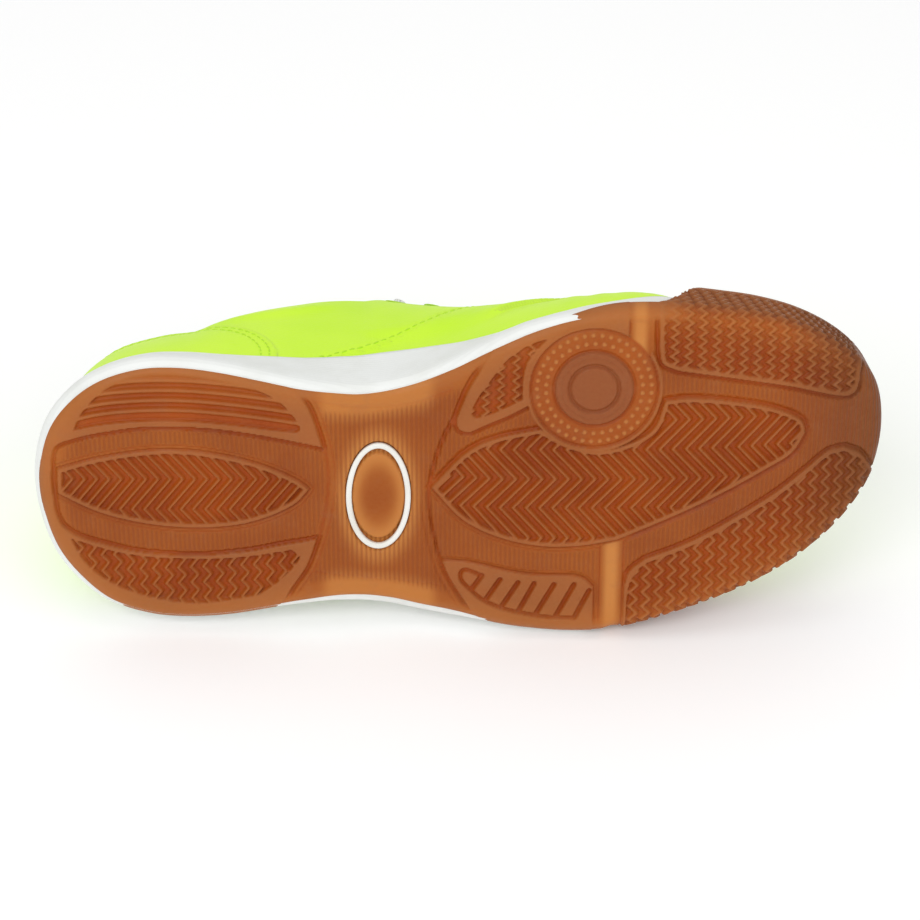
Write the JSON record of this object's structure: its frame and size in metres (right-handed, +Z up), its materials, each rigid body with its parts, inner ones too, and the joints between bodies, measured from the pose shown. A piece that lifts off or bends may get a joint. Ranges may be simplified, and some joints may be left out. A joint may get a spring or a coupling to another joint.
{
  "type": "athletic shoe",
  "caption": "Low indoor court shoe for a left foot: gum rubber outsole wrapped over the toe, pale foam midsole, hollow laced upper with open collar and throat.",
  "frame": {"origin": "bottom centre of the bounding box of the shoe as it lies on the floor", "axes": "+X runs from heel to toe, the sole faces -Y and a little up, the medial side is up, +Z is up"},
  "size_m": [0.2326, 0.1026, 0.0976],
  "materials": {
    "gum_rubber": "satin, slightly translucent",
    "ring_white": "satin",
    "foam_white": "matt foam",
    "insole_fabric": "matt",
    "upper_yellow": "smooth coated synthetic",
    "tongue_fabric": "padded mesh",
    "lace_white": "woven flat lace"
  },
  "bodies": {
    "root": {"outsole": "gum_rubber", "oval_ring": "ring_white", "midsole": "foam_white", "insole": "insole_fabric", "upper": "upper_yellow", "tongue": "tongue_fabric", "lace_bar_1": "lace_white", "lace_bar_2": "lace_white", "lace_bar_3": "lace_white", "lace_bar_4": "lace_white", "lace_bar_5": "lace_white"}
  },
  "joints": []
}
